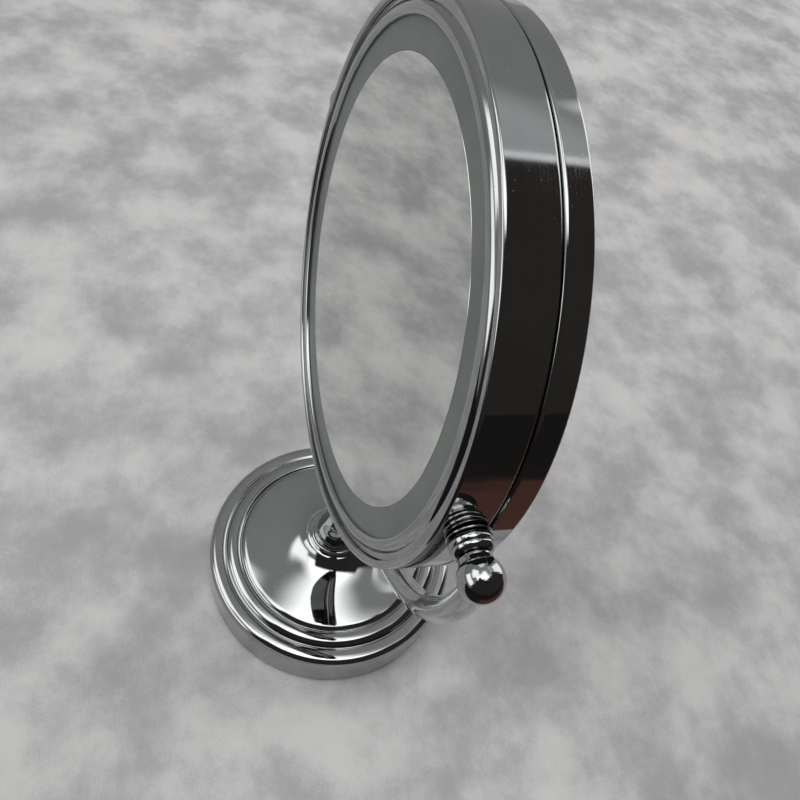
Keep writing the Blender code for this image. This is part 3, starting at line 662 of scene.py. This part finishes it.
def make_bezels():
    """The trim rings of both sides, a hair below the drum's ends."""
    front = bezel_profile(FRONT_BEZEL_INNER, BEZEL_OUTER, HEAD_FRONT - 0.1, 8.9, FRONT_CHANNEL)
    turned_chrome("bezel_front", front, "head", "front_bezel", HEAD, WIDE_SIDES)
    rear = bezel_profile(REAR_BEZEL_INNER, BEZEL_OUTER, -HEAD_BACK - 0.1, 12.9, REAR_CHANNEL)
    rear = [(radius, -height) for radius, height in rear]
    turned_chrome("bezel_rear", rear, "head", "rear_bezel", HEAD, WIDE_SIDES)


def make_mirror_glass(name, profile, node):
    """One of the two silvered mirrors."""
    piece(name, lathe(profile, WIDE_SIDES), MIRROR, "head", [node], HEAD)


def make_glass():
    """The frosted ring, the plain mirror inside it and the magnifying mirror, a shallow bowl."""
    diffuser = lathe(ring(*DIFFUSER_RADII, GLASS_FACE - 1.7, GLASS_FACE, 0.08), WIDE_SIDES)
    piece("light_ring", diffuser, FROSTED, "head", ["light_diffuser"], HEAD)
    plain = disc(MIRROR_RADIUS, GLASS_FACE - 3.0, GLASS_FACE, 0.08)
    make_mirror_glass("plain_mirror", plain, "front_mirror")
    face = []
    for i in range(BOWL_STEPS + 1):
        radius = REAR_MIRROR_RADIUS * i / BOWL_STEPS
        rise = (REAR_MIRROR_RADIUS**2 - radius**2) / (2 * REAR_CURVE_RADIUS)
        face.append((radius, REAR_GLASS_EDGE + rise))
    back = [(radius, height + REAR_GLASS_THICKNESS) for radius, height in reversed(face)]
    make_mirror_glass("magnifying_mirror", face + back, "rear_mirror")


def make_gasket():
    """The dark seal that shows in the seam."""
    profile = ring(104.8, 106.2, SEAM_DEPTH - 0.8, SEAM_DEPTH + 0.5)
    piece("seam_seal", lathe(profile, WIDE_SIDES), RUBBER, "head", ["seam_gasket"], HEAD)


# The pivots and the yoke.


def make_finials():
    """On each side: a ring on the drum, a turned bowl and a ball on the end of the yoke."""
    flange = [(FLANGE_BORE, 108.3)]
    flange += arc((7.3, 108.7), 0.4, -90, 0, 4)
    flange += arc((7.3, 108.8), 0.4, 0, 90, 4)
    flange += [(FLANGE_BORE, 109.2)]
    bowl = [(STUD_BORE, 109.5), (6.3, 109.5)]
    bowl += bezier((6.3, 109.5), (7.5, 109.7), (7.95, 111.2), BOWL_WAIST, 14)[1:]
    bowl += bezier(BOWL_WAIST, (7.75, 113.3), (7.2, 115.1), (5.6, 115.7), 12)[1:]
    bowl += [(STUD_BORE, 115.7)]
    start = 180 - math.degrees(math.asin(BALL_NECK / BALL_RADIUS))
    ball = [(0, YOKE_RADIUS + 0.5), (STUD_BORE, YOKE_RADIUS + 0.5), (STUD_BORE, 116.0)]
    ball += [(5.2, 116.0), (5.5, 116.15), (5.65, 116.5), (5.7, 117.0), (5.85, 117.6)]
    ball += [(r, YOKE_RADIUS + h) for h, r in arc((0, 0), BALL_RADIUS, start, 1, 30)]
    ball += [(0, YOKE_RADIUS + BALL_RADIUS)]
    for side, matrix in SIDES:
        turned_chrome(f"pivot_ring_{side}", flange, "head", f"pivot_flange_{side}", matrix)
        turned_chrome(f"pivot_bowl_{side}", bowl, "stand", f"pivot_bell_{side}", matrix)
        turned_chrome(f"ball_{side}", ball, "stand", f"yoke_ball_{side}", matrix)


def make_yoke():
    """The half round of tube, each end a little way inside its ball."""
    inset = TUBE_INSET / YOKE_RADIUS
    path = []
    for i in range(TUBE_STEPS + 1):
        angle = inset + (math.pi - 2 * inset) * i / TUBE_STEPS
        path.append(Vector((YOKE_RADIUS * math.cos(angle), 0, -YOKE_RADIUS * math.sin(angle))))
    tube = sweep(path, Vector((0, 1, 0)), (TUBE_RADIUS, TUBE_BORE), SMALL_SIDES)
    piece("yoke", tube, CHROME, "stand", ["yoke_tube"], CENTRE)


# The stem.


def bead_profile(low, height, radius):
    """A ring between two joints of the stem, half round outside."""
    middle = low + height / 2
    points = [(STEM_BORE, low), (BEAD_FACE, low)]
    points += arc((radius - height / 2, middle), height / 2, -72, 72, 16)
    return points + [(BEAD_FACE, low + height), (STEM_BORE, low + height)]


def make_stem():
    """From the top: the knob that holds the yoke, a bead, the column, a bead and the bell on the base."""
    low = SADDLE_LOW
    middle = PIVOT_HEIGHT - YOKE_RADIUS
    saddle = [(0, low + SADDLE_BALL), (STEM_BORE, low + SADDLE_BALL), (STEM_BORE, low), (6.8, low)]
    saddle += arc((6.6, low + 0.9), 0.8, -80, 0, 5)
    saddle += bezier((7.4, low + 1.0), (7.4, low + 4.0), (6.3, low + 4.6), (6.6, low + 8.2), 12)
    saddle += arc((0, middle), SADDLE_BALL, -42, 89, 30)
    saddle += [(0, middle + SADDLE_BALL)]
    turned_chrome("saddle", saddle, "stand", "yoke_saddle")
    for level, height in (("upper", 110.3), ("lower", 76.3)):
        bead = bead_profile(height, BEAD_HEIGHT, BEAD_RADIUS)
        turned_chrome(f"{level}_bead", bead, "stand", f"stem_bead_{level}")
    column = [(STEM_BORE, 81.6), (6.4, 81.6)]
    column += bezier((6.6, 81.8), (7.1, 82.6), (6.6, 84.0), (6.2, 85.6), 8)
    column += bezier((6.2, 85.6), (5.8, 92.0), (5.8, 100.0), (6.2, 106.2), 14)[1:]
    column += bezier((6.2, 106.2), (6.6, 107.8), (7.1, 109.0), (6.6, 109.8), 8)[1:]
    column += [(6.4, 110.0), (STEM_BORE, 110.0)]
    turned_chrome("column", column, "stand", "stem_column")
    foot = [(STEM_BORE, BASE_TOP + 0.3), (12.6, BASE_TOP + 0.3)]
    foot += arc((12.5, 48.3), 1.0, -90, 60, 12)
    foot += bezier((12.6, 49.4), (12.0, 49.8), (12.1, 50.4), (11.9, 51.2), 5)
    foot += bezier((11.9, 51.2), (11.2, 59.0), (7.6, 62.0), (7.0, 75.0), 24)[1:]
    foot += [(6.8, 76.0), (STEM_BORE, 76.0)]
    turned_chrome("stem_bell", foot, "stand", "stem_foot")


# The base.


def make_base():
    """The base shell: collar, dome, two grooved tiers and wall, with the switch's window at the back."""
    outer = [(ROD_HOLE, BASE_TOP)]
    outer += arc((13.6, 46.0), 1.0, 90, 20, 6)
    outer += bezier((14.7, 45.6), (15.4, 44.8), (15.8, 44.6), (16.6, 44.3), 5)
    outer += bezier((16.6, 44.3), (21.2, 37.2), (36.0, 36.5), (52.0, 32.5), 40)[1:]
    outer += bezier((52.0, 32.5), (53.8, 32.0), (54.6, 31.2), (55.0, 30.5), 8)[1:]
    outer += bezier((55.0, 30.5), (55.3, 30.1), (55.8, 30.1), (56.1, 30.5), 5)[1:]
    outer += bezier((56.1, 30.5), (57.4, 31.9), (61.4, 31.6), (63.2, 29.6), 18)[1:]
    outer += bezier((63.2, 29.6), (63.7, 28.8), (63.9, 28.2), (64.5, 28.1), 6)[1:]
    outer += bezier((64.5, 28.1), (65.2, 28.1), (65.4, 28.6), (66.4, 28.75), 6)[1:]
    outer += bezier((66.4, 28.75), (69.8, 29.2), (74.0, 28.6), (BASE_RADIUS, 23.8), 24)[1:]
    outer += [(BASE_RADIUS, 2.4)]
    outer += arc((BASE_RADIUS - 0.7, 2.3), 0.7, 0, -90, 5)
    inner = [(BASE_INSIDE, 1.6), (BASE_INSIDE, 23.2), (69.2, 25.6), (57.0, 27.6), (53.6, 29.0)]
    inner += bezier((53.6, 29.0), (38.0, 33.0), (22.0, 33.4), (13.6, 43.2), 16)[1:]
    inner += [(12.8, 44.4), (ROD_HOLE, 44.4)]
    shell = turned_chrome("base", outer + inner, "stand", "base_shell", None, WIDE_SIDES)
    cut(shell, block((-8.0, 67.0, 12.3), (8.0, 77.0, 22.7), 0.6))


def make_underside():
    """The bottom cover, its battery door with a finger dimple, four rubber feet and three screws."""
    plate = lathe(disc(71.8, 2.6, 4.6, 0.4), WIDE_SIDES)
    cover = piece("base_plate", plate, BLACK, "stand", ["bottom_cover"])
    cut(cover, block((-31.1, -28.0, 1.0), (31.1, 28.0, 6.0), 0))
    panel = block((-30.7, -27.6, 2.6), (30.7, 27.6, 4.5), 0.35)
    door = piece("door", panel, BLACK, "battery_door", ["battery_door"])
    dimple = moved(lathe(disc(6.0, 1.0, 3.5), SMALL_SIDES), Matrix.Translation((0, -0.019, 0)))
    cut(door, dimple)
    foot = [(0, 0), (5.3, 0)]
    foot += arc((5.5, 1.0), 1.0, -90, 0, 6)
    foot += [(6.5, 2.3), (0, 2.3)]
    for number in range(1, 5):
        place = on_circle(FOOT_CIRCLE, 90 * number - 45)
        name = f"rubber_foot_{number}"
        piece(name, lathe(foot, SMALL_SIDES), RUBBER, "stand", [f"foot_{number}"], place)
    head = [(0, 1.0), (1.6, 1.0)]
    head += arc((1.7, 2.0), 1.0, -90, -5, 6)
    head += [(2.7, 2.3), (1.3, 2.3), (1.3, 9.9), (0, 9.9)]
    for number, angle in enumerate((30, 150, 270), 1):
        place = on_circle(SCREW_CIRCLE, angle)
        nodes = [f"cover_screw_{number}"]
        name = f"plate_screw_{number}"
        screw = piece(name, lathe(head, SMALL_SIDES), STEEL, "stand", nodes, place)
        cut(screw, block((-1.5, -0.25, 0.0), (1.5, 0.25, 1.8), 0))
        cut(screw, block((-0.25, -1.5, 0.0), (0.25, 1.5, 1.8), 0))


def on_circle(radius, angle):
    """The matrix that stands a piece at that angle, in degrees, on a circle round the stand's axis."""
    turn = math.radians(angle)
    return Matrix.Translation((radius * MM * math.cos(turn), radius * MM * math.sin(turn), 0))


def make_cells():
    """Four penlight cells, each turned end for end from its neighbour: sleeve, rolled ends and cap."""
    half = CELL_LENGTH / 2
    sleeve = [(0, -half + 0.35), (5.6, -half + 0.35), (5.9, -half)]
    sleeve += arc((CELL_RADIUS - 0.55, 0.55 - half), 0.55, -90, 0, 6)
    sleeve += arc((CELL_RADIUS - 0.55, half - 0.55), 0.55, 0, 90, 6)
    sleeve += [(5.9, half), (5.6, half - 0.35), (2.9, half - 0.3)]
    sleeve += arc((2.2, half + 0.5), 0.5, 0, 90, 5)
    sleeve += [(0, half + 1.0)]
    for number in range(1, 5):
        turn = 90 if number % 2 else -90
        place = Matrix.Translation(((number - 2.5) * CELL_PITCH * MM, 0, CELL_AXIS_HEIGHT * MM))
        place @= Matrix.Rotation(math.radians(turn), 4, "X")
        name = f"penlight_{number}"
        piece(name, lathe(sleeve, SMALL_SIDES), CELL, "stand", [f"cell_{number}"], place)


def coil(height, wide, narrow, turns, wire):
    """A conical coil spring standing on Z, wide end down."""
    steps = COIL_STEPS * turns
    path = []
    for i in range(steps + 1):
        t = i / steps
        angle = math.tau * turns * t
        radius = wide + (narrow - wide) * t
        path.append(Vector((radius * math.cos(angle), radius * math.sin(angle), height * t)))
    return sweep(path, Vector((0, 0, 1)), (wire,), 8)


def make_contacts():
    """A sprung plate at each end of the cells: coils where a cell's flat end presses, pips for its cap."""
    for name, sign in (("front", -1), ("rear", 1)):
        near, far = sorted((27.2 * sign, 27.7 * sign))
        parts = [block((-30.0, near, 8.0), (30.0, far, 18.0), 0.15)]
        for number in range(1, 5):
            flat_end = 1 if number % 2 else -1
            x = (number - 2.5) * CELL_PITCH
            turn = Matrix.Rotation(sign * math.pi / 2, 4, "X")
            place = Matrix.Translation(Vector((x, 27.25 * sign, CELL_AXIS_HEIGHT)) * MM) @ turn
            if flat_end == sign:
                parts.append(moved(coil(1.55, 4.2, 2.6, 3, 0.25), place))
            else:
                pip = [(0, 0), (2.6, 0), (2.2, 0.35), (0, 0.45)]
                parts.append(moved(lathe(pip, SMALL_SIDES), place))
        piece(f"contact_plate_{name}", join(parts), STEEL, "stand", [f"contact_strip_{name}"])


def make_switch():
    """The rocker's housing behind the window in the wall, and the rocker, with a plain bar cut in it."""
    case = block((-9.5, 57.5, 11.5), (9.5, 71.0, 23.5), 0.5)
    housing = piece("switch_housing", case, BLACK, "stand", ["switch_body"])
    cut(housing, block((-7.6, 65.2, 12.7), (7.6, 73.0, 22.3), 0.3))
    outline = [(-2.4, -4.2)]
    outline += bezier((3.9, -4.2), (4.3, -4.1), (4.2, -3.6), (4.1, -3.2), 5)
    outline += bezier((4.1, -3.2), (3.3, -1.2), (3.3, 1.2), (4.1, 3.2), 14)
    outline += bezier((4.1, 3.2), (4.2, 3.6), (4.3, 4.1), (3.9, 4.2), 5)
    outline += [(-2.4, 4.2)]
    bm = bmesh.new()
    face = bm.faces.new([bm.verts.new((-ROCKER_HALF * MM, y * MM, z * MM)) for y, z in outline])
    made = bmesh.ops.extrude_face_region(bm, geom=[face])
    far_end = [v for v in made["geom"] if isinstance(v, bmesh.types.BMVert)]
    bmesh.ops.translate(bm, verts=far_end, vec=(2 * ROCKER_HALF * MM, 0, 0))
    place = Matrix.Translation((0, ROCKER_PIVOT_Y * MM, SWITCH_HEIGHT * MM))
    place @= Matrix.Rotation(math.radians(ROCKER_TILT), 4, "X")
    rocker = piece("rocker_key", bm, GLOSS_BLACK, "rocker", ["switch_rocker"], place)
    cut(rocker, block((-4.9, 3.1, -0.35), (-3.0, 5.0, 0.35), 0))


def keep_inner_nodes():
    """Gives each CAD node that still shows the detailed version of its own finish."""
    for name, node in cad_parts.items():
        if node.hide_render:
            continue
        for index, material in enumerate(node.data.materials):
            key = material.name.split(".")[0]
            node.data.materials[index] = KEPT_FINISHES[key]


# The studio.


def make_floor():
    """A wide flat cloth under the base."""
    bm = bmesh.new()
    bmesh.ops.create_grid(bm, x_segments=2, y_segments=2, size=FLOOR_HALF)
    mesh = bpy.data.meshes.new("floor")
    bm.to_mesh(mesh)
    bm.free()
    mesh.materials.append(make_floor_material())
    floor = bpy.data.objects.new("floor", mesh)
    bpy.context.scene.collection.objects.link(floor)


def make_flag():
    """A card lying on the floor beside the object that is dark in reflections and unseen otherwise."""
    near, far = FLAG_SPAN
    bm = bmesh.new()
    corners = ((near, -far), (far, -far), (far, far), (near, far))
    bm.faces.new([bm.verts.new((x, y, FLAG_HEIGHT)) for x, y in corners])
    mesh = bpy.data.meshes.new("dark_card")
    bm.to_mesh(mesh)
    bm.free()
    material, tree, shader, place = start_material("dark_card")
    reach, side, _ = add(tree, "SeparateXYZ", Vector=place).outputs
    cloud = noise(tree, place, 9.0, 3.0)
    mixed = math_node(tree, "MULTIPLY_ADD", cloud, 0.25, reach)
    start, end = (near + fade for fade in FLAG_FADE)
    tone = blend(tree, remap(tree, mixed, start, end, 0.0, 1.0), *FLAG_TONES)
    tone = blend(tree, remap(tree, side, *FLAG_SIDE_FADE, 1.0, 0.0), tone, FLAG_TONES[1])
    tree.links.new(tone, shader.inputs["Emission Color"])
    shader.inputs["Emission Strength"].default_value = 1.0
    shader.inputs["Base Color"].default_value = (0.0, 0.0, 0.0, 1.0)
    shader.inputs["Roughness"].default_value = 1.0
    shader.inputs["Specular IOR Level"].default_value = 0.0
    mesh.materials.append(material)
    flag = bpy.data.objects.new("dark_card", mesh)
    bpy.context.scene.collection.objects.link(flag)
    flag.visible_camera = False
    flag.visible_diffuse = False
    flag.visible_shadow = False


def panel_mask(tree, azimuth, elevation, spans, softness):
    """1 inside a patch of the sky, 0 outside it, with a soft border. Angles are in degrees."""
    mask = None
    for angle, (low, high), soft in zip((azimuth, elevation), spans, softness):
        rise = remap(tree, angle, low - soft, low + soft, 0.0, 1.0)
        fall = remap(tree, angle, high - soft, high + soft, 1.0, 0.0)
        both = math_node(tree, "MULTIPLY", rise, fall)
        mask = both if mask is None else math_node(tree, "MULTIPLY", mask, both)
    return mask


def make_world():
    """Large soft panels, light and dark, round a pale room. The camera itself sees a plain backdrop."""
    world = bpy.data.worlds.new("studio")
    bpy.context.scene.world = world
    world.use_nodes = True
    tree = world.node_tree
    background = tree.nodes["Background"]
    parts = add(tree, "SeparateXYZ", Vector=add(tree, "TexCoord").outputs["Generated"])
    to_degrees = math.degrees(1)
    x, y, z = parts.outputs
    azimuth = math_node(tree, "MULTIPLY", math_node(tree, "ARCTAN2", y, x), to_degrees)
    elevation = math_node(tree, "MULTIPLY", math_node(tree, "ARCSINE", z), to_degrees)
    tone = blend(tree, remap(tree, elevation, 0.0, 80.0, 0.0, 1.0), ROOM_LOW, ROOM_HIGH)
    for spans, softness, colour in STUDIO_PANELS:
        tone = blend(tree, panel_mask(tree, azimuth, elevation, spans, softness), tone, colour)
    seen = add(tree, "LightPath").outputs["Is Camera Ray"]
    tree.links.new(blend(tree, seen, tone, BACKDROP), background.inputs["Color"])
    background.inputs["Strength"].default_value = 1.0


def make_camera():
    """The camera that sees the object as it is set up at rest."""
    camera = bpy.data.cameras.new("camera")
    camera.lens = CAMERA_LENS
    camera.sensor_width = 36.0
    camera.clip_start = 0.01
    camera.clip_end = 20.0
    obj = bpy.data.objects.new("camera", camera)
    bpy.context.scene.collection.objects.link(obj)
    obj.matrix_world = Matrix.Translation(CAMERA_PLACE)
    for angle, axis in ((CAMERA_TURN, "Z"), (90 - CAMERA_DOWN, "X"), (CAMERA_ROLL, "Z")):
        obj.matrix_world = obj.matrix_world @ Matrix.Rotation(math.radians(angle), 4, axis)
    bpy.context.scene.camera = obj


make_front_housing()
make_rear_housing()
make_bezels()
make_glass()
make_gasket()
make_finials()
make_yoke()
make_stem()
make_base()
make_underside()
make_cells()
make_contacts()
make_switch()
keep_inner_nodes()
make_floor()
make_flag()
make_world()
make_camera()
bpy.context.scene.view_settings.view_transform = "Standard"
